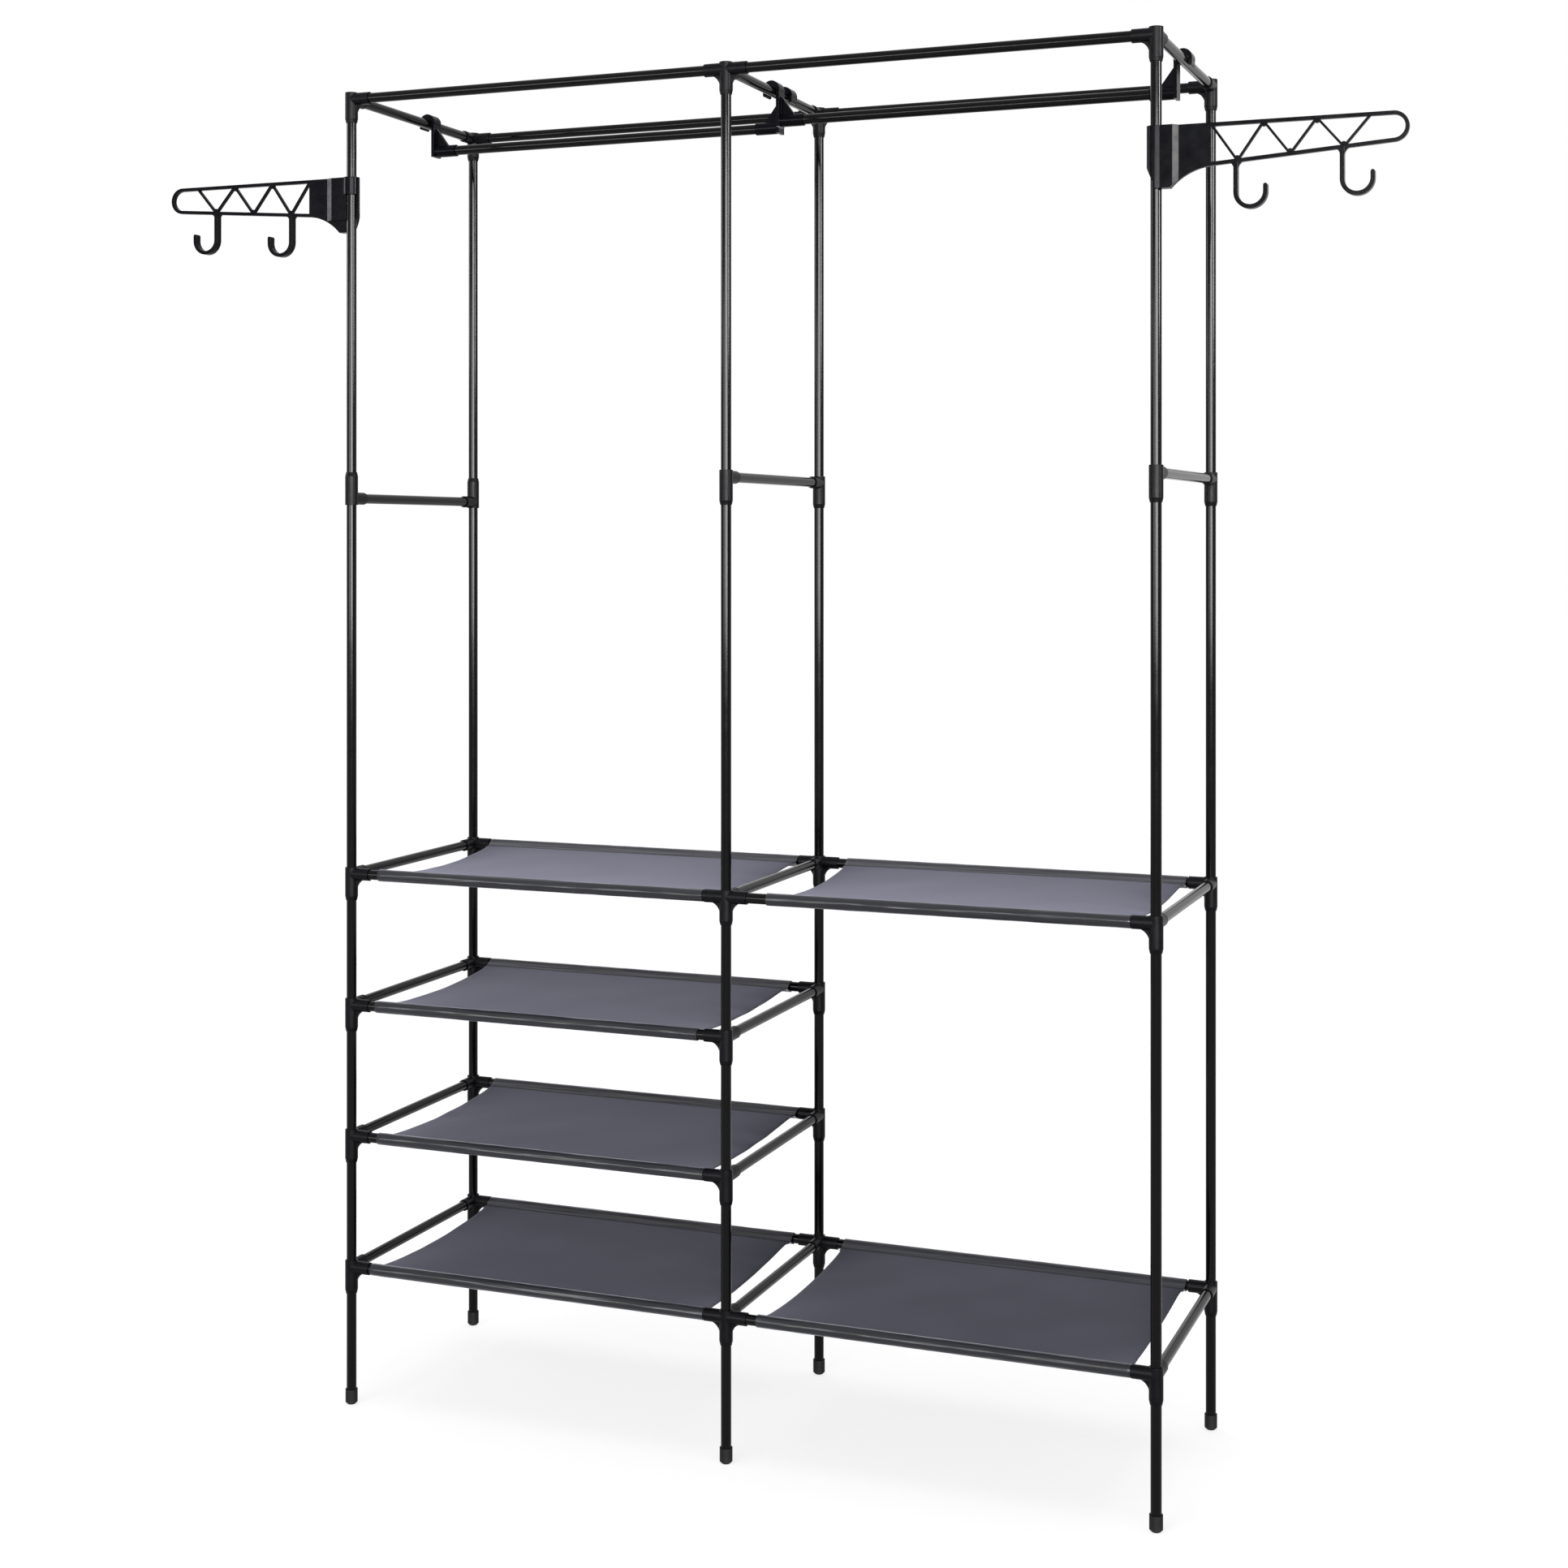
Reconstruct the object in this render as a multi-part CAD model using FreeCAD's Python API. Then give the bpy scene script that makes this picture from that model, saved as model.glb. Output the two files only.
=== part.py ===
import FreeCAD, Part
import os
from functools import cache

# Open frame wardrobe: steel tubes pushed into moulded connectors, with fabric shelves, two hanging
# rods that hook over the top side bars, and a swinging hook arm on each front corner post.
# Millimetres, +Z up, +X to the right, +Y to the back. The origin is on the floor under the middle.

# Steel tubes: every rail, hanging rod and tall post piece is the same long tube
tube_diameter = 12.0
tube_wall = 0.8
long_tube_length = 478.5
depth_tube_length = 284.5
short_tube_length = 158.5
leg_tube_length = 152.5

# Moulded connectors: a sleeve on the post and blind sockets for the rails and side bars
tube_clearance = 0.1
socket_wall = 1.4
socket_depth = 17.0
socket_floor_wall = 2.9
sleeve_wall = 1.7
sleeve_rim = 0.5
sleeve_taper = 1.1
sleeve_taper_length = 5.0
stop_thickness = 1.5
stop_below_socket = 3.25
sleeve_grip = 20.5
top_tube_rise = 2.5
top_sleeve_drop = 29.0

# Web under each rail socket
web_thickness = 4.0
web_length = 10.0
web_height = 13.5
web_root_share = 0.9
web_hollow_share = 0.18

# Foot caps
foot_wall = 1.3
foot_floor = 3.0
foot_grip = 15.0
foot_chamfer = 2.5

# Fabric shelves, sewn into a sleeve round the front and the back rail
cloth_thickness = 0.8
cloth_clearance = 0.3
cloth_margin = 11.0
cloth_sag = 6.0
cloth_draw_in = 4.0

# Hanging rods and their hook-over brackets
rod_drop = 35.0
left_rod_offset = 38.0
right_rod_offset = -4.0
bracket_clearance = 0.4
bracket_wall = 4.0
bracket_crown = 2.5
bracket_width = 18.0
bracket_lip_drop = 4.5
bracket_socket_depth = 30.0
bracket_rib_thickness = 5.0
bracket_rib_top = 5.0
bracket_rib_length = 17.0

# Hook arms: collar and root
left_arm_drop = 95.5
right_arm_drop = 98.0
arm_clearance = 0.08
arm_thickness = 5.0
collar_wall = 3.9
collar_height = 21.0
shell_drop = 64.0
shell_taper = 23.0
cradle_share = 0.65
panel_height = 67.0
panel_foot_length = 16.0
panel_length = 59.0
panel_hollow_share = 0.12
front_block_length = 19.0
front_block_wall = 2.4
front_block_ramp = 7.8
back_block_length = 25.0
back_block_width = 6.0
back_block_height = 52.0
back_block_ramp = 14.0

# Hook arms: tapered zigzag truss with an end loop
arm_reach = 262.0
arm_chord = 4.0
truss_root_depth = 41.5
truss_tip_depth = 28.0
brace_count = 6
brace_width = 2.6
brace_thickness = 4.0
brace_node_radius = 3.25
brace_node_inset = 2.25
loop_length = 38.6

# Hook arms: J-hooks under the truss
hook_setback = 1.5
hook_bar = 4.5
hook_thickness = 8.5
hook_radius = 15.5
hook_drop = 49.0
hook_tip_rise = 6.0
hook_web = 8.0
hook_web_hollow_share = 0.2

# How far a cut runs past the surface that it opens
overrun = 1.0

# Sizes that follow from the values above
tube_radius = tube_diameter / 2
bore_radius = tube_radius + tube_clearance
socket_radius = bore_radius + socket_wall
sleeve_radius = bore_radius + sleeve_wall
socket_floor = bore_radius + socket_floor_wall
socket_reach = socket_floor + socket_depth
stop_drop = socket_radius + stop_below_socket
sleeve_rise = socket_radius + sleeve_rim
sleeve_drop = stop_drop + stop_thickness / 2 + sleeve_grip
bay_pitch = long_tube_length + 2 * socket_floor
depth_pitch = depth_tube_length + 2 * socket_floor
front_y = -depth_pitch / 2
back_y = depth_pitch / 2
cloth_width = bay_pitch - 2 * (socket_reach + cloth_margin)
arm_bore_radius = tube_radius + arm_clearance
collar_radius = arm_bore_radius + collar_wall
front_block_width = arm_bore_radius + front_block_wall
loop_radius = (truss_tip_depth + arm_chord) / 2
loop_start = arm_reach - loop_radius

# Heights of the rail axes, stacked up from the floor through the tubes and their stops
short_pitch = short_tube_length + stop_thickness
long_pitch = long_tube_length + stop_thickness
bottom_z = foot_floor + leg_tube_length + stop_thickness / 2 + stop_drop
second_z = bottom_z + short_pitch
third_z = second_z + short_pitch
upper_z = third_z + short_pitch
tie_stop_z = upper_z - stop_drop + long_pitch
top_tube_end_z = tie_stop_z + stop_thickness / 2 + long_tube_length
top_z = top_tube_end_z - top_tube_rise

LEVEL_Z = {"bottom": bottom_z, "second": second_z, "third": third_z, "upper": upper_z, "top": top_z}
LEVEL_BAYS = {
    "bottom": ("left", "right"),
    "second": ("left",),
    "third": ("left",),
    "upper": ("left", "right"),
    "top": ("left", "right"),
}
SHELF_LEVELS = ("bottom", "second", "third", "upper")
COLUMN_X = {"left": -bay_pitch, "middle": 0, "right": bay_pitch}
BAY_X = {"left": -bay_pitch / 2, "right": bay_pitch / 2}
ROW_Y = {"front": front_y, "back": back_y}
X_AXIS = FreeCAD.Vector(1, 0, 0)
Y_AXIS = FreeCAD.Vector(0, 1, 0)
Z_AXIS = FreeCAD.Vector(0, 0, 1)
ORIGIN = FreeCAD.Vector(0, 0, 0)


def vector(x, y, z):
    return FreeCAD.Vector(x, y, z)


def box_between(low, high):
    size = high - low
    return Part.makeBox(size.x, size.y, size.z, low)


def outline(path):
    """Close a path in the XZ plane: a pair is a corner, and three pairs are an arc through them."""
    stretches = [item if isinstance(item[0], tuple) else (item,) for item in path]
    stretches = [[vector(x, 0, z) for x, z in stretch] for stretch in stretches]
    edges = []
    for before, stretch in zip(stretches[-1:] + stretches[:-1], stretches):
        edges.append(Part.makeLine(before[-1], stretch[0]))
        if len(stretch) > 1:
            edges.append(Part.Arc(*stretch).toShape())
    return Part.Wire(edges)


def plate(wires, y_low, y_high):
    """Raise a flat XZ profile, with any holes as further wires, between two depths."""
    face = Part.makeFace(wires, "Part::FaceMakerBullseye")
    slab = face.extrude(Y_AXIS * (y_high - y_low))
    return slab.translated(Y_AXIS * y_low).Solids[0]


def centred_plate(wires, thickness):
    return plate(wires, -thickness / 2, thickness / 2)


def hollow_arc(start, end, corner, share):
    """An arc from start to end that bows towards a corner by a share of its chord."""
    middle = ((start[0] + end[0]) / 2, (start[1] + end[1]) / 2)
    pull = (corner[0] - middle[0], corner[1] - middle[1])
    chord = ((end[0] - start[0]) ** 2 + (end[1] - start[1]) ** 2) ** 0.5
    bow = share * chord / (pull[0] ** 2 + pull[1] ** 2) ** 0.5
    return start, (middle[0] + bow * pull[0], middle[1] + bow * pull[1]), end


def cylinder(radius, start, direction, length):
    return Part.makeCylinder(radius, length, start, direction)


def single(shape):
    """The one solid of a boolean result, with the seams between its coplanar faces merged."""
    return shape.removeSplitter().Solids[0]


def tube(length, direction):
    outer = cylinder(tube_radius, ORIGIN, direction, length)
    inner_radius = tube_radius - tube_wall
    bore = cylinder(inner_radius, direction * -overrun, direction, length + 2 * overrun)
    return outer.cut(bore).Solids[0]


def web(side):
    """The hollow-edged rib in the corner under a rail socket, on the +X or -X side of the post."""
    root_x = side * web_root_share * sleeve_radius
    root_z = -web_root_share * socket_radius
    tip_x = side * (sleeve_radius + web_length)
    low_z = -socket_radius - web_height
    edge = hollow_arc((tip_x, root_z), (root_x, low_z), (root_x, root_z), web_hollow_share)
    return centred_plate([outline([(0, 0), (tip_x, 0), edge, (0, low_z)])], web_thickness)


@cache
def connector(rail_sides, depth_side, closed_top=False):
    """A connector round the point where its socket axes cross the post axis."""
    drop = top_sleeve_drop if closed_top else sleeve_drop
    taper_top = sleeve_taper_length - drop
    body = cylinder(sleeve_radius, Z_AXIS * taper_top, Z_AXIS, sleeve_rise - taper_top)
    tip_radius = sleeve_radius - sleeve_taper
    tip = Part.makeCone(tip_radius, sleeve_radius, sleeve_taper_length, Z_AXIS * -drop, Z_AXIS)
    directions = [X_AXIS * side for side in rail_sides] + [Y_AXIS * depth_side]
    sockets = [cylinder(socket_radius, ORIGIN, way, socket_reach) for way in directions]
    body = body.fuse([tip] + sockets + [web(side) for side in rail_sides])

    bore_depth = socket_depth + overrun
    bores = [cylinder(bore_radius, way * socket_floor, way, bore_depth) for way in directions]
    low = Z_AXIS * (-drop - overrun)
    if closed_top:
        bores.append(cylinder(bore_radius, low, Z_AXIS, drop + overrun + top_tube_rise))
    else:
        stop_low = -stop_drop - stop_thickness / 2
        stop_high = stop_low + stop_thickness
        bores.append(cylinder(bore_radius, low, Z_AXIS, drop + overrun + stop_low))
        rise = sleeve_rise + overrun - stop_high
        bores.append(cylinder(bore_radius, Z_AXIS * stop_high, Z_AXIS, rise))
    return single(body.cut(bores))


def foot_cap():
    radius = bore_radius + foot_wall
    height = foot_floor + foot_grip
    cap = cylinder(radius, ORIGIN, Z_AXIS, height)
    bottom_edge = [edge for edge in cap.Edges if edge.BoundBox.ZMax < foot_floor]
    cap = cap.makeChamfer(foot_chamfer, bottom_edge)
    return cap.cut(cylinder(bore_radius, Z_AXIS * foot_floor, Z_AXIS, height)).Solids[0]


def shelf():
    """A sagging panel between two rail sleeves, centred between the rails at axis height."""
    half_width = cloth_width / 2
    sleeve_inner = tube_radius + cloth_clearance
    sleeve_outer = sleeve_inner + cloth_thickness
    half_thick = cloth_thickness / 2

    def sagging(z):
        low = vector(-half_width, 0, z - cloth_sag)
        ends = [vector(-half_width, y, z) for y in (front_y, back_y)]
        return Part.Arc(ends[0], low, ends[1]).toShape()

    top = sagging(half_thick)
    bottom = sagging(-half_thick)
    strip = Part.makeRuledSurface(top, bottom).extrude(X_AXIS * cloth_width).Solids[0]
    starts = [vector(-half_width, y, 0) for y in (front_y, back_y)]
    sleeves = [cylinder(sleeve_outer, start, X_AXIS, cloth_width) for start in starts]
    back_off = X_AXIS * -overrun
    hollow_length = cloth_width + 2 * overrun
    hollows = [cylinder(sleeve_inner, at + back_off, X_AXIS, hollow_length) for at in starts]

    open_half = back_y - sleeve_outer
    lens_low = -cloth_sag - sleeve_outer
    lenses = []
    for side in (-1, 1):
        edge_x = side * half_width
        ends = [vector(edge_x, y, lens_low) for y in (-open_half, open_half)]
        drawn = vector(edge_x - side * cloth_draw_in, 0, lens_low)
        lens = Part.Wire([Part.Arc(ends[0], drawn, ends[1]).toShape(), Part.makeLine(ends[1], ends[0])])
        lenses.append(Part.Face(lens).extrude(Z_AXIS * (cloth_sag + 2 * sleeve_outer)))
    return single(strip.fuse(sleeves).cut(hollows + lenses))


def rod_bracket(side):
    """A bracket round a top side bar: lip, hook, plate and a socket that faces the bay."""
    inner = tube_radius + bracket_clearance
    outer = inner + bracket_wall
    lip_middle = (inner + outer) / 2
    lip_low = -bracket_lip_drop
    plate_low = -rod_drop - socket_radius
    lip_end = (side * -lip_middle, lip_low - (outer - inner) / 2)
    hook = outline(
        [
            ((side * -outer, 0), (0, outer + bracket_crown), (side * outer, 0)),
            (side * outer, plate_low),
            (side * inner, plate_low),
            ((side * inner, 0), (0, inner), (side * -inner, 0)),
            ((side * -inner, lip_low), lip_end, (side * -outer, lip_low)),
        ]
    )
    rib_tip = side * (outer + bracket_rib_length)
    rib = outline(
        [
            (side * inner, -bracket_rib_top),
            (side * outer, -bracket_rib_top),
            (rib_tip, -rod_drop + web_root_share * socket_radius),
            (rib_tip, -rod_drop),
            (side * inner, -rod_drop),
        ]
    )
    seat = vector(side * inner, 0, -rod_drop)
    mouth = socket_floor - inner + bracket_socket_depth
    body = centred_plate([hook], bracket_width)
    socket = cylinder(socket_radius, seat, X_AXIS * side, mouth)
    body = body.fuse([centred_plate([rib], bracket_rib_thickness), socket])
    bore_start = vector(side * socket_floor, 0, -rod_drop)
    bore = cylinder(bore_radius, bore_start, X_AXIS * side, bracket_socket_depth + overrun)
    return single(body.cut(bore))


def truss_low(x):
    """Height of the lower chord's centre line at a distance from the post axis."""
    share = (x - panel_length) / (loop_start - panel_length)
    depth = truss_root_depth + share * (truss_tip_depth - truss_root_depth)
    return -arm_chord / 2 - depth


def arm_outlines():
    """The flat moulding's outside, from root panel to end loop, and its one long window."""
    half = arm_chord / 2
    loop_z = -half - truss_tip_depth / 2
    low_root = truss_low(panel_length)
    low_tip = truss_low(loop_start)
    corner = (panel_length, low_root - half)
    foot = (panel_foot_length, -panel_height)
    panel_edge = hollow_arc(corner, foot, (foot[0], corner[1]), panel_hollow_share)
    outer_loop = ((loop_start, 0), (arm_reach, loop_z), (loop_start, low_tip - half))
    inner_end = (arm_reach - arm_chord, loop_z)
    inner_loop = ((loop_start, -arm_chord), inner_end, (loop_start, low_tip + half))
    outside = outline([(0, 0), outer_loop, panel_edge, (0, -panel_height)])
    window = outline([(panel_length, -arm_chord), inner_loop, (panel_length, low_root + half)])
    return outside, window


def brace(start, end):
    """A straight bar of the zigzag between two chord centre points."""
    run = (end[0] - start[0], end[1] - start[1])
    length = (run[0] ** 2 + run[1] ** 2) ** 0.5
    side = (-run[1] / length * brace_width / 2, run[0] / length * brace_width / 2)
    corners = [
        (start[0] + side[0], start[1] + side[1]),
        (end[0] + side[0], end[1] + side[1]),
        (end[0] - side[0], end[1] - side[1]),
        (start[0] - side[0], start[1] - side[1]),
    ]
    return centred_plate([outline(corners)], brace_thickness)


def j_hook(x):
    """A hook under the lower chord that opens away from the post, with hollow webs at its root."""
    chord_z = truss_low(x)
    half = hook_bar / 2
    turn_z = chord_z - hook_drop + hook_radius
    tip_x = x + 2 * hook_radius
    tip_z = turn_z + hook_tip_rise
    inner = hook_radius - half
    outer = hook_radius + half
    middle_x = x + hook_radius
    hook = outline(
        [
            (x - half, chord_z),
            ((x - half, turn_z), (middle_x, turn_z - outer), (tip_x + half, turn_z)),
            ((tip_x + half, tip_z), (tip_x, tip_z + half), (tip_x - half, tip_z)),
            ((tip_x - half, turn_z), (middle_x, turn_z - inner), (x + half, turn_z)),
            (x + half, chord_z),
        ]
    )
    web_low = chord_z - arm_chord / 2 - hook_web
    arcs = []
    for side in (-1, 1):
        far = (x + side * (half + hook_web), chord_z)
        low = (x + side * half, web_low)
        arcs.append(hollow_arc(far, low, (low[0], chord_z), hook_web_hollow_share))
    root = outline([arcs[0], arcs[1][::-1]])
    return [centred_plate([hook], hook_thickness), centred_plate([root], arm_thickness)]


def ramped_room(start, flat_end, ramp, depth, low):
    """The room for a block beside the post, with a ramp from its flat face down to the panel."""
    corners = [(start, 0), (flat_end + ramp, 0), (flat_end, depth), (start, depth)]
    points = [vector(x, y, low) for x, y in corners]
    face = Part.Face(Part.makePolygon(points + points[:1]))
    return face.extrude(Z_AXIS * (overrun - low))


def arm_root(outside):
    """The collar round the post, the half shell below it and the thick blocks beside the post."""
    low = -panel_height - overrun
    silhouette = plate([outside], -front_block_width, back_block_width)
    cradle = cradle_share * arm_bore_radius
    front_room = ramped_room(0, front_block_length, front_block_ramp, -front_block_width, low)
    back_room = ramped_room(
        cradle, back_block_length, back_block_ramp, back_block_width, -back_block_height
    )
    blocks = [silhouette.common(room) for room in (front_room, back_room)]

    far = collar_radius + overrun
    open_back = box_between(vector(-far, 0, low), vector(far, far, overrun))
    tapered_end = outline([(-far, shell_taper - shell_drop), (0, -shell_drop), (0, low), (-far, low)])
    shell = cylinder(collar_radius, Z_AXIS * -panel_height, Z_AXIS, panel_height)
    shell = shell.cut([open_back, plate([tapered_end], -far, overrun)])
    collar = cylinder(collar_radius, Z_AXIS * -collar_height, Z_AXIS, collar_height)
    return blocks + [collar, shell]


def hook_arm():
    """An arm that points along +X from its post axis, with the top of its panel at height zero."""
    outside, window = arm_outlines()
    pitch = (arm_reach - loop_length - panel_length) / brace_count
    corners = []
    for index in range(brace_count + 1):
        x = panel_length + index * pitch
        corners.append((x, truss_low(x) if index % 2 else -arm_chord / 2))
    pieces = [brace(start, end) for start, end in zip(corners, corners[1:])]
    for index, (x, z) in enumerate(corners[1:-1]):
        inset = -brace_node_inset if index % 2 else brace_node_inset
        start = vector(x, -brace_thickness / 2, z + inset)
        pieces.append(cylinder(brace_node_radius, start, Y_AXIS, brace_thickness))
    low_corners = corners[1::2]
    for corner in (low_corners[0], low_corners[-1]):
        pieces += j_hook(corner[0] - hook_setback)
    body = centred_plate([outside, window], arm_thickness).fuse(arm_root(outside) + pieces)
    bore_low = -panel_height - overrun
    return single(body.cut(cylinder(arm_bore_radius, Z_AXIS * bore_low, Z_AXIS, overrun - bore_low)))


def post_tubes(column):
    """The lengths of one post's tubes with the heights at which they start."""
    tubes = [(leg_tube_length, foot_floor)]
    stop_top = stop_thickness / 2 - stop_drop
    if column == "right":
        tubes.append((long_tube_length, bottom_z + stop_top))
    else:
        tubes += [(short_tube_length, z + stop_top) for z in (bottom_z, second_z, third_z)]
    tubes.append((long_tube_length, upper_z + stop_top))
    tubes.append((long_tube_length, tie_stop_z + stop_thickness / 2))
    return tubes


def columns_at(level):
    return ("left", "middle", "right") if len(LEVEL_BAYS[level]) > 1 else ("left", "middle")


def rail_sides(level, column):
    """The sides of a post that carry a rail at a level."""
    bays = LEVEL_BAYS[level]
    if column == "middle":
        return (-1, 1) if "right" in bays else (-1,)
    return (1,) if column == "left" else (-1,)


nodes = {}

# Posts and foot caps
post_lengths = (leg_tube_length, short_tube_length, long_tube_length)
upright = {length: tube(length, Z_AXIS) for length in post_lengths}
cap = foot_cap()
for row, y in ROW_Y.items():
    for column, x in COLUMN_X.items():
        pieces = [upright[length].translated(vector(x, y, z)) for length, z in post_tubes(column)]
        nodes[f"{row}_{column}_post_tubes"] = pieces
        nodes[f"{row}_{column}_foot_cap"] = [cap.translated(vector(x, y, 0))]

# Rails along the width and bars along the depth, seated on their socket floors
rail = tube(long_tube_length, X_AXIS).translated(X_AXIS * (-long_tube_length / 2))
bar = tube(depth_tube_length, Y_AXIS).translated(Y_AXIS * (-depth_tube_length / 2))
for level, z in LEVEL_Z.items():
    for bay in LEVEL_BAYS[level]:
        for row, y in ROW_Y.items():
            nodes[f"{level}_{bay}_{row}_rail"] = [rail.translated(vector(BAY_X[bay], y, z))]
    bars = [bar.translated(vector(COLUMN_X[column], 0, z)) for column in columns_at(level)]
    nodes[f"{level}_side_bars"] = bars

# Connectors at the shelf and top levels
DEPTH_SIDE = {"front": 1, "back": -1}
for level, z in LEVEL_Z.items():
    group = []
    for row, y in ROW_Y.items():
        for column in columns_at(level):
            joint = connector(rail_sides(level, column), DEPTH_SIDE[row], level == "top")
            group.append(joint.translated(vector(COLUMN_X[column], y, z)))
    nodes[f"{level}_connectors"] = group

# Ties halfway up the hanging space: the left pair of connectors sits upside down
tie_z = {"left": tie_stop_z - stop_drop, "middle": tie_stop_z + stop_drop}
tie_z["right"] = tie_z["middle"]
nodes["tie_bars"] = [bar.translated(vector(x, 0, tie_z[column])) for column, x in COLUMN_X.items()]
nodes["tie_connectors"] = []
for row, y in ROW_Y.items():
    for column, x in COLUMN_X.items():
        joint = connector((), DEPTH_SIDE[row])
        if column == "left":
            joint = joint.rotated(ORIGIN, Y_AXIS, 180)
        nodes["tie_connectors"].append(joint.translated(vector(x, y, tie_z[column])))

# Fabric shelves
cloth = shelf()
for level in SHELF_LEVELS:
    for bay in LEVEL_BAYS[level]:
        nodes[f"{level}_{bay}_shelf"] = [cloth.translated(vector(BAY_X[bay], 0, LEVEL_Z[level]))]

# Hanging rods on their brackets
bracket = {side: rod_bracket(side) for side in (-1, 1)}
ROD_Y = {"left": left_rod_offset, "right": right_rod_offset}
for bay, y in ROD_Y.items():
    nodes[f"{bay}_hanging_rod"] = [rail.translated(vector(BAY_X[bay], y, top_z - rod_drop))]
    for end, side in (("left", 1), ("right", -1)):
        x = BAY_X[bay] - side * bay_pitch / 2
        nodes[f"{bay}_rod_{end}_bracket"] = [bracket[side].translated(vector(x, y, top_z))]

# Hook arms on the front corner posts: the left one is the same moulding turned round
arm = hook_arm()
right_place = vector(bay_pitch, front_y, top_z - right_arm_drop)
left_place = vector(-bay_pitch, front_y, top_z - left_arm_drop)
nodes["right_hook_arm"] = [arm.translated(right_place)]
nodes["left_hook_arm"] = [arm.rotated(ORIGIN, Z_AXIS, 180).translated(left_place)]

os.makedirs("parts", exist_ok=True)
for name, solids in nodes.items():
    shape = solids[0] if len(solids) == 1 else Part.makeCompound(solids)
    shape.exportStep(f"parts/{name}.step")
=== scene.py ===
import bpy
import math
from collections import namedtuple
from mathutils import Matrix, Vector, noise


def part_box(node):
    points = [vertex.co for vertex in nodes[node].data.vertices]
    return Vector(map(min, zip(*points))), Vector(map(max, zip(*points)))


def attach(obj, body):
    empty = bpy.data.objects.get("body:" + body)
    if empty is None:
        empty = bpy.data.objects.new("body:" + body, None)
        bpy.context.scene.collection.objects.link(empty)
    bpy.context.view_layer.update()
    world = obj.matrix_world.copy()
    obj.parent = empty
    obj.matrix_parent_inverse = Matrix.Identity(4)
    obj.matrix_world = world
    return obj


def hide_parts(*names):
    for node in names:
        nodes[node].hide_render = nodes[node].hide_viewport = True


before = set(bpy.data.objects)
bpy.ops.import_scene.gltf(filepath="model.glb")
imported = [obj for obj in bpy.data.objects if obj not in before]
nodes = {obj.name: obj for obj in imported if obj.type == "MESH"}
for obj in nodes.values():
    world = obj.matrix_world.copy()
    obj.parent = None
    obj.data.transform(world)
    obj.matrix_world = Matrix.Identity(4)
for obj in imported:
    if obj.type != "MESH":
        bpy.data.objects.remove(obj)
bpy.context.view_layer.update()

# The looks of an open frame wardrobe: black coated tubes, moulded connectors and hook arms, and six
# non-woven fabric shelves. Metres, +Z up, +X to the right, +Y to the back.

MM = 0.001

# Camera: the photograph's view, level, with the horizon above the middle of the square image
image_size = 1932
focal_length_px = 2832.33
horizon_row_px = 663.63
sensor_width = 36.0
camera_place = (1.02163, -2.57295, 1.05642)
camera_turn = math.radians(21.43)

# Studio: the world's light, and a floor that fades into the backdrop between two distances
light_level = 0.4
floor_size = 60.0
floor_near = 1.2
floor_far = 3.0
floor_shade = 0.34
floor_glow = 0.77

# Softboxes that light the surfaces, and light banks that show as streaks on the glossy ones
Lamp = namedtuple("Lamp", "name place width height power")
SOFTBOXES = (
    Lamp("top_softbox", (0.0, 0.2, 3.8), 3.0, 3.0, 70),
    Lamp("front_softbox", (-1.0, -4.0, 2.4), 3.0, 2.0, 80),
)
BANKS = (
    Lamp("front_bank", (-1.7, -4.2, 1.28), 2.4, 1.05, 90),
    Lamp("camera_bank", (2.45, -4.6, 1.55), 4.8, 1.7, 900),
    Lamp("left_bank", (-4.2, -0.85, 1.92), 1.0, 0.7, 33),
    Lamp("right_bank", (3.7, -0.55, 1.97), 0.9, 0.8, 143),
)
lamp_aim = Vector((0, 0, 1.0))

# Fabric shelves: from the post axes to the panel's four corners, and the sag, in millimetres
Shelf = namedtuple("Shelf", "level bay left_front left_back right_front right_back sag")
SHELVES = (
    Shelf("bottom", "left", 33, 30, 29, 37, 1),
    Shelf("bottom", "right", 42, 38, 29, 32, 1),
    Shelf("second", "left", 42, 37, 29, 31, 1),
    Shelf("third", "left", 39, 31, 38, 41, 1.5),
    Shelf("upper", "left", 43, 33, 31, 30, 3),
    Shelf("upper", "right", 54, 42, 30, 31, 3),
)
plan_name = "cloth_plan"

# The cloth and its sleeves
cloth_thickness = 0.8 * MM
cloth_clearance = 0.35 * MM
layer_gap = 0.2 * MM
seam_offset = 12.5 * MM
flap_length = 9 * MM
sleeve_limit = 27 * MM
panel_columns = 72
panel_rows = 44
arc_steps = 18
flap_steps = 4

# How the cloth gives: higher powers keep a form closer to the edge that it belongs to
corner_flare = 3 * MM
corner_power = 14
draw_in = 1 * MM
edge_sag = 5 * MM
edge_sag_power = 5
edge_wave_power = 8
ripple_height = 0.5 * MM
pucker_height = 0.35 * MM
pucker_width = 6 * MM
wrinkle_height = pucker_height / 2

# Rates of the noise that shapes the cloth, per metre, or per half depth for the puckers' change.
# Layers keep the noise of two forms apart, and a step keeps that of two shelves apart
pucker_rate = 75
pucker_change = 3
slack_rate_x, slack_rate_y = 14, 9
edge_wave_rate = 30
wrinkle_rate_along, wrinkle_rate_round = 60, 200
pucker_layer, slack_layer, edge_layer = 0, 3, 7
shelf_step = 10

# Stitches: the arch and the sink of a stitch in thread radii, the lead as a share of the pitch
stitch_inset = 1.3 * MM
stitch_pitch = 3.5 * MM
stitch_length = 2.7 * MM
stitch_arch = 1.5
stitch_sink = 0.6
stitch_lead = 0.1
thread_radius = 0.28 * MM
thread_sides = 4
thread_steps = 4


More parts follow.
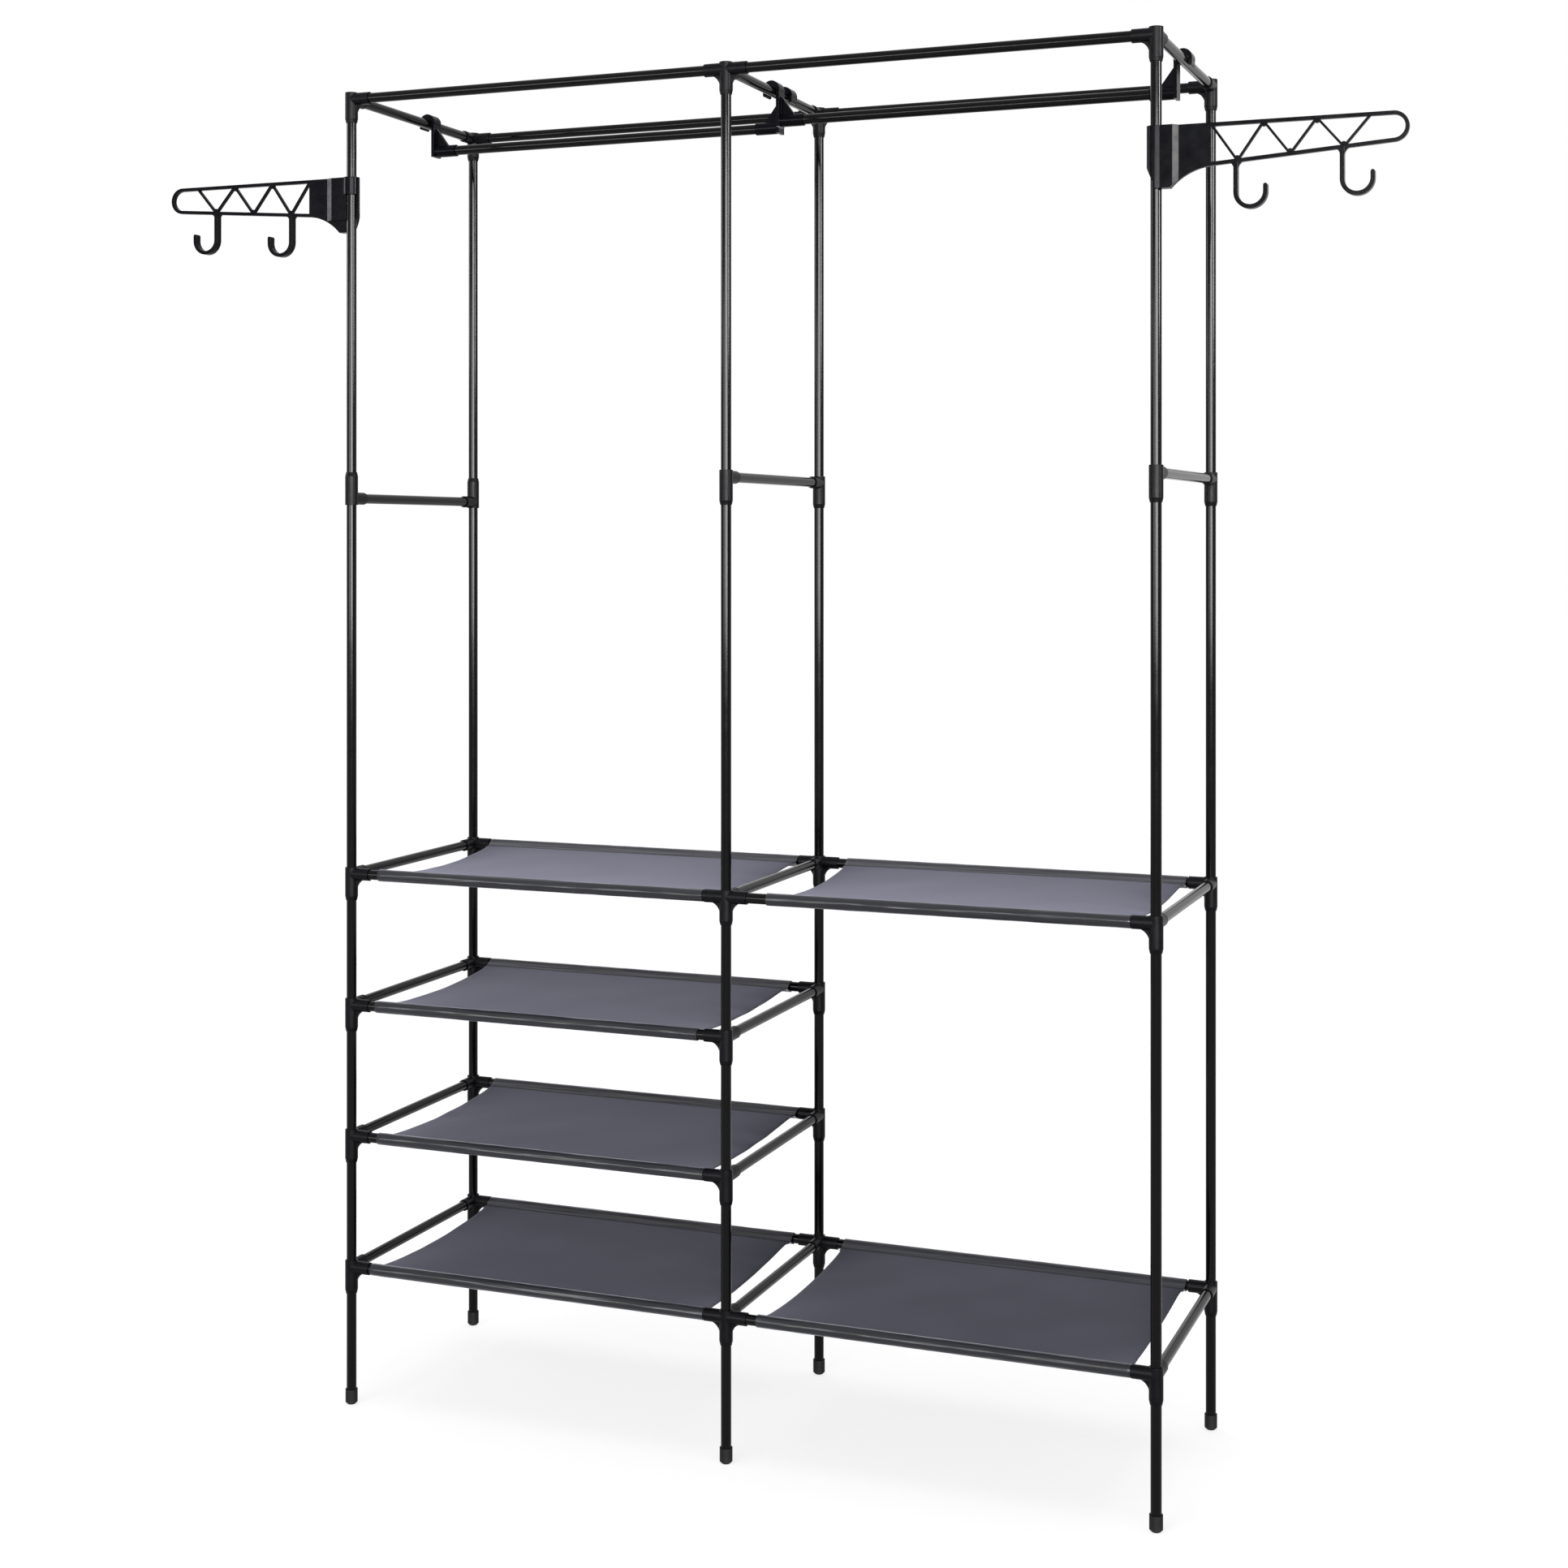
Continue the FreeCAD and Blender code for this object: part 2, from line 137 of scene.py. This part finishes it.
def wire(tree, value, socket):
    """Link a node's output into a socket, or set the socket to a plain value."""
    if isinstance(value, bpy.types.NodeSocket):
        tree.links.new(value, socket)
    else:
        socket.default_value = value


def add(tree, kind, *values, **settings):
    """A new node with its settings, and with its sockets filled in order."""
    node = tree.nodes.new(kind)
    for name, value in settings.items():
        setattr(node, name, value)
    for socket, value in zip(node.inputs, values):
        wire(tree, value, socket)
    return node


def calculate(tree, operation, *values, **settings):
    """The result of an operation on numbers."""
    return add(tree, "ShaderNodeMath", *values, operation=operation, **settings).outputs["Value"]


def vector_math(tree, operation, *values):
    """The two results of an operation on vectors: its Vector and its Value."""
    return add(tree, "ShaderNodeVectorMath", *values, operation=operation).outputs


def map_range(tree, value, from_low, from_high, to_low=0.0, to_high=1.0, **settings):
    """A value moved from one range to another and held between its ends."""
    ends = from_low, from_high, to_low, to_high
    return add(tree, "ShaderNodeMapRange", value, *ends, **settings).outputs["Result"]


def noise_value(tree, place, scale, low=0.0, high=1.0, detail=3.0):
    """Noise at a place, spread from low to high."""
    usual_low, usual_high = 0.3, 0.7
    texture = add(tree, "ShaderNodeTexNoise", place)
    texture.inputs["Scale"].default_value = scale
    texture.inputs["Detail"].default_value = detail
    return map_range(tree, texture.outputs["Fac"], usual_low, usual_high, low, high)


def shades(tree, factor, dark, light):
    """A colour between a dark and a light shade."""
    ramp = add(tree, "ShaderNodeValToRGB", factor)
    ramp.color_ramp.elements[0].color = (*dark, 1)
    ramp.color_ramp.elements[1].color = (*light, 1)
    return ramp.outputs["Color"]


def relief(tree, height, strength, distance, normal=None):
    """A surface normal with fine relief, on top of another normal if there is one."""
    bump = add(tree, "ShaderNodeBump")
    bump.inputs["Strength"].default_value = strength
    bump.inputs["Distance"].default_value = distance
    wire(tree, height, bump.inputs["Height"])
    if normal is not None:
        wire(tree, normal, bump.inputs["Normal"])
    return bump.outputs["Normal"]


def object_place(tree):
    """The place on the piece itself, so that a texture moves with it."""
    return add(tree, "ShaderNodeTexCoord").outputs["Object"]


def new_material(name, **constants):
    """A material with its shader's constant sockets set, such as Sheen_Weight=0.3."""
    material = bpy.data.materials.new(name)
    material.use_nodes = True
    tree = material.node_tree
    shader = tree.nodes["Principled BSDF"]
    for socket, value in constants.items():
        shader.inputs[socket.replace("_", " ")].default_value = value
    return material, tree, shader


def tube_coat():
    """Satin black coat on steel, with a faint orange peel."""
    material, tree, shader = new_material("satin_black_coat", Specular_IOR_Level=0.11)
    place = object_place(tree)
    mottle = noise_value(tree, place, scale=420)
    shade = shades(tree, mottle, dark=(0.002, 0.002, 0.0026), light=(0.0045, 0.0045, 0.0055))
    wire(tree, shade, shader.inputs["Base Color"])
    gloss = noise_value(tree, place, scale=45, low=0.1, high=0.14)
    wire(tree, gloss, shader.inputs["Roughness"])
    peel = noise_value(tree, place, scale=700, detail=2)
    surface = relief(tree, peel, strength=0.02, distance=0.1 * MM)
    wire(tree, surface, shader.inputs["Normal"])
    return material


def moulded_plastic(name, shade_range, roughness, edge_radius, gloss_level):
    """Black moulded plastic with a fine spark texture, mottled gloss and softened, rubbed edges."""
    flat_agreement, edge_agreement = 0.97, 0.8
    most_rubbed, least_rubbed = 0.8, 0.2
    smoother, rougher = 0.05, 0.06
    dark, light, rubbed = shade_range
    material, tree, shader = new_material(name, Specular_IOR_Level=gloss_level)
    place = object_place(tree)
    soft_edge = add(tree, "ShaderNodeBevel", edge_radius, samples=4).outputs["Normal"]
    flat = add(tree, "ShaderNodeNewGeometry").outputs["Normal"]
    agreement = vector_math(tree, "DOT_PRODUCT", soft_edge, flat)["Value"]
    near_edge = map_range(tree, agreement, flat_agreement, edge_agreement, to_high=most_rubbed)
    rubs = noise_value(tree, place, scale=240, low=least_rubbed)
    worn = add(tree, "ShaderNodeMix", data_type="RGBA")
    wire(tree, calculate(tree, "MULTIPLY", near_edge, rubs), worn.inputs["Factor"])
    wire(tree, shades(tree, noise_value(tree, place, scale=160), dark, light), worn.inputs["A"])
    worn.inputs["B"].default_value = (*rubbed, 1)
    wire(tree, worn.outputs["Result"], shader.inputs["Base Color"])
    gloss = noise_value(tree, place, scale=70, low=roughness - smoother, high=roughness + rougher)
    wire(tree, gloss, shader.inputs["Roughness"])
    grain = noise_value(tree, place, scale=1500)
    surface = relief(tree, grain, strength=0.08, distance=0.12 * MM, normal=soft_edge)
    wire(tree, surface, shader.inputs["Normal"])
    return material


def foot_plastic():
    """Soft black plastic, scuffed and dusty where it meets the floor."""
    dust_height = 9 * MM
    material, tree, shader = new_material("foot_plastic", Roughness=0.62, Specular_IOR_Level=0.15)
    place = object_place(tree)
    height = add(tree, "ShaderNodeSeparateXYZ", place).outputs["Z"]
    near_floor = map_range(tree, height, 0.0, dust_height, to_low=1.0, to_high=0.0)
    scuffs = noise_value(tree, place, scale=330, detail=5)
    dust = calculate(tree, "MULTIPLY", near_floor, scuffs)
    shade = shades(tree, dust, dark=(0.004, 0.004, 0.005), light=(0.03, 0.029, 0.028))
    wire(tree, shade, shader.inputs["Base Color"])
    surface = relief(tree, scuffs, strength=0.2, distance=0.15 * MM)
    wire(tree, surface, shader.inputs["Normal"])
    return material


def shelf_fabric(name, shine, roughness, crease_strength=0.0):
    """Charcoal non-woven cloth: matted fibres, pressed with a close grid of bonding spots.

    Where it is pulled tight round a rail it shines more and creases along the rail.
    """
    spot_pitch = 1.7 * MM
    spot_share = 0.2
    spot_shade = -0.3
    spot_depth = -0.8
    fibre_share, patch_share = 0.65, 0.35
    fibre_roughness = roughness + 0.04
    crease_width = 5 * MM
    crease_length = 120 * MM
    material, tree, shader = new_material(
        name,
        Specular_IOR_Level=shine,
        Sheen_Weight=0.9,
        Sheen_Roughness=0.36,
        Sheen_Tint=(0.8, 0.8, 1, 1),
    )
    plan = add(tree, "ShaderNodeUVMap", uv_map=plan_name).outputs["UV"]
    lattice = add(tree, "ShaderNodeMapping", plan)
    lattice.inputs["Rotation"].default_value = (0, 0, math.radians(45))
    lattice.inputs["Scale"].default_value = (1 / spot_pitch,) * 3
    cell = vector_math(tree, "FRACTION", lattice.outputs["Vector"])["Vector"]
    from_middle = vector_math(tree, "SUBTRACT", cell, (0.5, 0.5, 0))["Vector"]
    distance = vector_math(tree, "LENGTH", from_middle)["Value"]
    spot = map_range(tree, distance, spot_share, 2 * spot_share, to_low=1.0, to_high=0.0)
    fibres = noise_value(tree, plan, scale=1500, detail=6)
    patches = noise_value(tree, plan, scale=22, high=patch_share)
    mixed = calculate(tree, "MULTIPLY_ADD", fibres, fibre_share, patches)
    pressed = calculate(tree, "MULTIPLY_ADD", spot, spot_shade, mixed)
    shade = shades(tree, pressed, dark=(0.019, 0.0195, 0.024), light=(0.033, 0.034, 0.041))
    wire(tree, shade, shader.inputs["Base Color"])
    gloss = map_range(tree, spot, 0.0, 1.0, fibre_roughness, roughness)
    wire(tree, gloss, shader.inputs["Roughness"])
    height = calculate(tree, "MULTIPLY_ADD", spot, spot_depth, fibres)
    surface = relief(tree, height, strength=0.1, distance=0.1 * MM)
    if crease_strength:
        drawn = add(tree, "ShaderNodeMapping", plan)
        drawn.inputs["Scale"].default_value = (1 / crease_length, 1 / crease_width, 1)
        creases = noise_value(tree, drawn.outputs["Vector"], scale=1.0, detail=2)
        surface = relief(tree, creases, crease_strength, distance=1.2 * MM, normal=surface)
    wire(tree, surface, shader.inputs["Normal"])
    return material


def sewing_thread():
    """Dark thread with the twist of its strands."""
    strand_rate, strand_waver = 1100, 2.0
    material, tree, shader = new_material("sewing_thread", Roughness=0.6, Sheen_Weight=0.2)
    sockets = object_place(tree), strand_rate, strand_waver
    strands = add(tree, "ShaderNodeTexWave", *sockets, bands_direction="DIAGONAL").outputs["Fac"]
    shade = shades(tree, strands, dark=(0.007, 0.007, 0.009), light=(0.02, 0.02, 0.024))
    wire(tree, shade, shader.inputs["Base Color"])
    surface = relief(tree, strands, strength=0.3, distance=0.1 * MM)
    wire(tree, surface, shader.inputs["Normal"])
    return material


def seen_directly(tree):
    """One for camera, glossy and transmission rays, and zero for the light that falls on things."""
    path = add(tree, "ShaderNodeLightPath").outputs
    seen = calculate(tree, "ADD", path["Is Camera Ray"], path["Is Glossy Ray"])
    return calculate(tree, "ADD", seen, path["Is Transmission Ray"], use_clamp=True)


def place_in_scene(name, data):
    """A new object in the scene that shows a mesh, a lamp or a camera."""
    thing = bpy.data.objects.new(name, data)
    bpy.context.scene.collection.objects.link(thing)
    return thing


def white_world():
    """A white backdrop that lights the object at a plain level."""
    world = bpy.data.worlds.new("studio")
    bpy.context.scene.world = world
    world.use_nodes = True
    tree = world.node_tree
    background = tree.nodes["Background"]
    level = map_range(tree, seen_directly(tree), 0.0, 1.0, light_level, 1.0)
    background.inputs["Color"].default_value = (1, 1, 1, 1)
    wire(tree, level, background.inputs["Strength"])


def pale_floor():
    """A plain floor that reads as the white backdrop and keeps the object's soft shadow."""
    half = floor_size / 2
    mesh = bpy.data.meshes.new("floor")
    corners = [(-half, -half, 0), (half, -half, 0), (half, half, 0), (-half, half, 0)]
    mesh.from_pydata(corners, [], [(0, 1, 2, 3)])
    floor = place_in_scene("floor", mesh)
    material, tree, shader = new_material("pale_floor", Roughness=0.9, Specular_IOR_Level=0.1)
    distance = vector_math(tree, "LENGTH", object_place(tree))["Value"]
    away = map_range(tree, distance, floor_near, floor_far, interpolation_type="SMOOTHSTEP")
    shade = shades(tree, away, dark=(floor_shade,) * 3, light=(0, 0, 0))
    wire(tree, shade, shader.inputs["Base Color"])
    level = map_range(tree, away, 0.0, 1.0, floor_glow, 1.0)
    glow = calculate(tree, "MULTIPLY", seen_directly(tree), level)
    shader.inputs["Emission Color"].default_value = (1, 1, 1, 1)
    wire(tree, glow, shader.inputs["Emission Strength"])
    mesh.materials.append(material)


def area_lamp(lamp):
    """A rectangular lamp turned to the middle of the object."""
    data = bpy.data.lights.new(lamp.name, "AREA")
    data.shape = "RECTANGLE"
    data.size = lamp.width
    data.size_y = lamp.height
    data.energy = lamp.power
    light = place_in_scene(lamp.name, data)
    light.location = lamp.place
    light.rotation_euler = (lamp_aim - light.location).to_track_quat("-Z", "Y").to_euler()
    return light


def photo_camera():
    """The level camera that takes the photograph's view, with its lens shifted to the horizon."""
    data = bpy.data.cameras.new("photo_camera")
    data.sensor_width = sensor_width
    data.lens = focal_length_px / image_size * sensor_width
    data.shift_y = (horizon_row_px - image_size / 2) / image_size
    camera = place_in_scene("photo_camera", data)
    camera.location = camera_place
    camera.rotation_euler = (math.radians(90), 0, camera_turn)
    bpy.context.scene.camera = camera


def middle(node):
    """The middle of a CAD node's box."""
    low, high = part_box(node)
    return (low + high) / 2


def spaced(start, end, steps):
    """Evenly spaced values from start to end."""
    return [start + (end - start) * step / steps for step in range(steps + 1)]


class Cloth:
    """Where one shelf's cloth runs between its two rails."""

    def __init__(self, shelf):
        self.name = f"{shelf.level}_{shelf.bay}"
        self.shelf = shelf
        self.rails = [f"{self.name}_front_rail", f"{self.name}_back_rail"]
        self.front, self.back = (middle(rail) for rail in self.rails)
        low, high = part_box(self.rails[0])
        self.radius = (high.z - low.z) / 2
        posts = {"left": ("left", "middle"), "right": ("middle", "right")}[shelf.bay]
        self.left_x, self.right_x = (middle(f"front_{post}_post_tubes").x for post in posts)
        self.depth = self.back.y - self.front.y - 2 * seam_offset
        self.seed = Vector((shelf_step * SHELVES.index(shelf), 0, 0))

    def share(self, y):
        """From -1 at the front seam to 1 at the back seam."""
        return (2 * y - self.front.y - self.back.y) / self.depth

    def sides(self, y, inside):
        """The left and right edge at a depth: the panel's edges inside, sleeve ends elsewhere."""
        share = self.share(y)
        along = min(1, max(0, (share + 1) / 2))
        freed = 1 - abs(share) ** corner_power if inside else 0
        bow = draw_in * (1 - share * share) if inside else 0
        shelf = self.shelf
        corners = (shelf.left_front, shelf.left_back), (shelf.right_front, shelf.right_back)
        edges = []
        for near, far in corners:
            edge = (near + (far - near) * along) * MM
            flare = min(corner_flare, edge - sleeve_limit)
            edges.append(edge + bow - flare * (1 - freed))
        return self.left_x + edges[0], self.right_x - edges[1]

    def sag(self, y):
        """How far the panel hangs below its seams."""
        return -self.shelf.sag * MM * (1 - self.share(y) ** 2)

    def waves(self, *place):
        """Smooth noise from -1 to 1 that differs from shelf to shelf."""
        return noise.noise(Vector(place) + self.seed)

    def lift(self, x, y, across):
        """Small puckers along the seams, slack in the panel, and side edges that hang lower."""
        share = self.share(y)
        seam_gap = self.depth / 2 * (1 - abs(share))
        pucker = pucker_height * math.exp(-((seam_gap / pucker_width) ** 2))
        calm = 1 - share * share
        from_middle = abs(2 * across - 1)
        height = pucker * self.waves(x * pucker_rate, share * pucker_change, pucker_layer)
        slack = self.waves(x * slack_rate_x, y * slack_rate_y, slack_layer)
        height += ripple_height * calm * slack
        wave = ripple_height * (1 + self.waves(x, y * edge_wave_rate, edge_layer))
        hang = edge_sag * from_middle**edge_sag_power + wave * from_middle**edge_wave_power
        return height - calm * hang

    def wrinkle(self, x, y, z):
        """Fine wrinkles in the sleeves and flaps."""
        place = x * wrinkle_rate_along, y * wrinkle_rate_round, z * wrinkle_rate_round
        return wrinkle_height * self.waves(*place)


def cloth_profile(cloth):
    """The cloth's path in the YZ plane, hem to hem, as (y, z, inside).

    It runs forward under the panel, round the front rail, back over the span and round the back
    rail. Between the seams, inside is true.
    """
    ring = cloth.radius + cloth_clearance + cloth_thickness / 2
    drop = cloth_thickness + layer_gap
    tangent = math.acos(ring / seam_offset)

    def sleeve(rail, side):
        """From the lower seam round the rail to the upper seam, on the side the panel leaves."""
        points = []
        for step in range(arc_steps + 1):
            angle = -tangent - step / arc_steps * (2 * math.pi - 2 * tangent)
            y = rail.y + side * ring * math.cos(angle)
            points.append((y, ring * math.sin(angle), False))
        return points

    def flap(rail, side):
        """The hem under the panel, from its cut edge to the lower seam."""
        near = rail.y + side * seam_offset
        far = rail.y + side * (seam_offset + flap_length)
        return [(y, cloth.sag(y) - drop, False) for y in spaced(far, near, flap_steps)]

    span = spaced(cloth.front.y + seam_offset, cloth.back.y - seam_offset, panel_rows)
    panel = [(y, cloth.sag(y), True) for y in span]
    to_front = flap(cloth.front, 1) + sleeve(cloth.front, 1)
    to_back = flap(cloth.back, -1) + sleeve(cloth.back, -1)
    path = to_front + panel + to_back[::-1]
    return [(y, z + cloth.front.z, inside) for y, z, inside in path]


def new_piece(name, vertices, faces, material):
    """A smooth-shaded mesh object of one material."""
    mesh = bpy.data.meshes.new(name)
    mesh.from_pydata(vertices, [], faces)
    mesh.shade_smooth()
    mesh.materials.append(material)
    return place_in_scene(name, mesh)


def shelf_sheet(cloth, panel_fabric, sleeve_fabric):
    """One shelf's cloth with its sleeves, stretched between its rails, and its cut size."""
    profile = cloth_profile(cloth)
    travelled = [0.0]
    for before, after in zip(profile, profile[1:]):
        travelled.append(travelled[-1] + math.dist(before[:2], after[:2]))

    vertices, plan = [], []
    for (y, z, inside), along in zip(profile, travelled):
        left, right = cloth.sides(y, inside)
        for column in range(panel_columns + 1):
            across = column / panel_columns
            x = left + (right - left) * across
            lift = cloth.lift(x, y, across) if inside else cloth.wrinkle(x, y, z)
            vertices.append((x, y, z + lift))
            plan.append((x, along))

    columns = panel_columns + 1
    faces, fabrics = [], []
    for row in range(len(profile) - 1):
        in_panel = profile[row][2] and profile[row + 1][2]
        for column in range(panel_columns):
            corner = row * columns + column
            faces.append((corner, corner + 1, corner + 1 + columns, corner + columns))
            fabrics.append(0 if in_panel else 1)

    sheet = new_piece(f"{cloth.name}_shelf_cloth", vertices, faces, panel_fabric)
    sheet.data.materials.append(sleeve_fabric)
    sheet.data.polygons.foreach_set("material_index", fabrics)
    layer = sheet.data.uv_layers.new(name=plan_name)
    for loop in sheet.data.loops:
        layer.data[loop.index].uv = plan[loop.vertex_index]
    thicken = sheet.modifiers.new("thickness", "SOLIDIFY")
    thicken.thickness = cloth_thickness
    thicken.offset = 0
    sheet.modifiers.new("plain_cut_edges", "WEIGHTED_NORMAL")
    ends = [cloth.sides(rail.y, False) for rail in (cloth.front, cloth.back)]
    width = sum(right - left for left, right in ends) / len(ends)
    return sheet, (width, travelled[-1])


def stitch(start, face):
    """One stitch along +X on the cloth's upper (1) or lower (-1) face, with both ends sunk in."""
    vertices, faces = [], []
    for step in range(thread_steps):
        along = step / (thread_steps - 1)
        bend = stitch_arch * math.sin(math.pi * along) - stitch_sink
        rise = face * thread_radius * bend
        for side in range(thread_sides):
            angle = 2 * math.pi * (side + 0.5) / thread_sides
            y, z = thread_radius * math.cos(angle), thread_radius * math.sin(angle)
            offset = Vector((0, y, z + rise))
            vertices.append(start + Vector((stitch_length * along, 0, 0)) + offset)
    for step in range(thread_steps - 1):
        first = step * thread_sides
        for side in range(thread_sides):
            corner, beside = first + side, first + (side + 1) % thread_sides
            faces.append((corner, beside, beside + thread_sides, corner + thread_sides))
    last = (thread_steps - 1) * thread_sides
    faces.append(tuple(range(thread_sides))[::-1])
    faces.append(tuple(range(last, last + thread_sides)))
    return vertices, faces


def seam_stitches(cloth, thread):
    """The rows of stitches that close a cloth's two sleeves, over and under the two layers."""
    inset = seam_offset + stitch_inset
    vertices, faces = [], []
    for y in (cloth.front.y + inset, cloth.back.y - inset):
        left, right = cloth.sides(y, True)
        count = int((right - left) / stitch_pitch)
        for index in range(count):
            x = left + (index + stitch_lead) * stitch_pitch
            lift = cloth.lift(x, y, (x - left) / (right - left))
            height = cloth.front.z + cloth.sag(y) + lift
            under = height - cloth_thickness - layer_gap
            top, bottom = height + cloth_thickness / 2, under - cloth_thickness / 2
            for face, z in ((1, top), (-1, bottom)):
                points, sides = stitch(Vector((x, y, z)), face)
                faces += [tuple(corner + len(vertices) for corner in side) for side in sides]
                vertices += points
    return new_piece(f"{cloth.name}_seam_stitches", vertices, faces, thread)


photo_camera()
white_world()
pale_floor()
for lamp in SOFTBOXES:
    area_lamp(lamp).visible_glossy = False
for lamp in BANKS:
    area_lamp(lamp).visible_diffuse = False

# Finishes of the CAD nodes by the end of their names: the coat where no other is given
coat = tube_coat()
connector_plastic = moulded_plastic(
    "connector_plastic",
    shade_range=((0.003, 0.003, 0.0045), (0.006, 0.006, 0.0085), (0.016, 0.016, 0.02)),
    roughness=0.36,
    edge_radius=0.8 * MM,
    gloss_level=0.07,
)
arm_plastic = moulded_plastic(
    "arm_plastic",
    shade_range=((0.003, 0.003, 0.005), (0.005, 0.0055, 0.009), (0.014, 0.015, 0.02)),
    roughness=0.22,
    edge_radius=0.6 * MM,
    gloss_level=0.045,
)
FINISHES = {
    "_connectors": connector_plastic,
    "_bracket": arm_plastic,
    "_hook_arm": arm_plastic,
    "_foot_cap": foot_plastic(),
}
for name, node in nodes.items():
    finish = next((look for end, look in FINISHES.items() if name.endswith(end)), coat)
    for slot in node.material_slots:
        slot.material = finish

panel_fabric = shelf_fabric("charcoal_nonwoven", shine=0.0, roughness=0.75)
sleeve_fabric = shelf_fabric(
    "charcoal_nonwoven_drawn_tight", shine=0.26, roughness=0.2, crease_strength=0.35
)
thread = sewing_thread()
for shelf in SHELVES:
    cloth = Cloth(shelf)
    sheet, flat = shelf_sheet(cloth, panel_fabric, sleeve_fabric)
    stitches = seam_stitches(cloth, thread)
    for piece in (sheet, stitches):
        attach(piece, "frame")
    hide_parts(f"{cloth.name}_shelf")

bpy.context.scene.view_settings.view_transform = "Standard"
